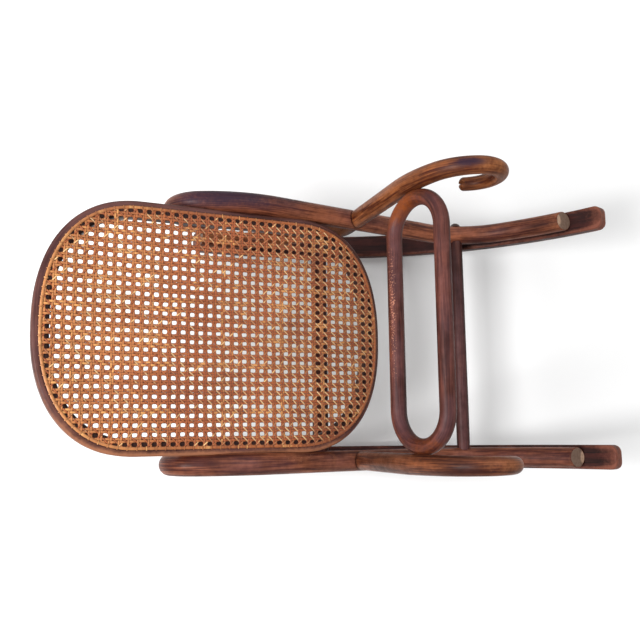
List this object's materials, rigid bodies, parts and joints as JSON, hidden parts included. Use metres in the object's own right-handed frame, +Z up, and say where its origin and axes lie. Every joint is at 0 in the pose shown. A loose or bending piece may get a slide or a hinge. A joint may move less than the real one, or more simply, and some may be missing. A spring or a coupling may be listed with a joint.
{
  "type": "rocking footstool",
  "caption": "Bentwood leg rest on curved runners, with a sloping hand-caned seat, scrolled side rails and a round-ended loop between the scrolls.",
  "frame": {"origin": "On the floor, below the middle of the bounding box, on the plane of symmetry.", "axes": "+X points to the scroll end and the long tips of the runners, +Y to the left side frame, +Z up. The seat slopes down along +X."},
  "size_m": [0.8094, 0.404, 0.4374],
  "materials": {
    "dark_wood": "worn dark stained beech with a satin polish",
    "seat_wood": "stained beech, honey brown where the edges are worn",
    "cane": "woven rattan cane, aged to orange brown",
    "binder": "flat rattan binding, pale golden",
    "dark_steel": "dulled iron bolt heads",
    "steel": "plain steel wood screws"
  },
  "bodies": {
    "root": {"seat_ring": "seat_wood", "cane_panel": "cane", "cane_binder": "binder", "seat_rail_left": "dark_wood", "seat_rail_right": "dark_wood", "scroll_rail_left": "dark_wood", "scroll_rail_right": "dark_wood", "runner_left": "dark_wood", "runner_right": "dark_wood", "scroll_loop": "dark_wood", "front_stretcher": "dark_wood", "rear_stretcher": "dark_wood", "front_bolt_left": "dark_steel", "front_bolt_right": "dark_steel", "rear_bolt_left": "dark_steel", "rear_bolt_right": "dark_steel", "seat_screw_low_left": "steel", "seat_screw_low_right": "steel", "seat_screw_high_left": "steel", "seat_screw_high_right": "steel", "loop_screw_left": "steel", "loop_screw_right": "steel", "lap_screw_left": "steel", "lap_screw_right": "steel", "rail_foot_screw_in_left": "steel", "rail_foot_screw_in_right": "steel", "rail_foot_screw_out_left": "steel", "rail_foot_screw_out_right": "steel", "scroll_foot_screw_left": "steel", "scroll_foot_screw_right": "steel"}
  },
  "joints": []
}
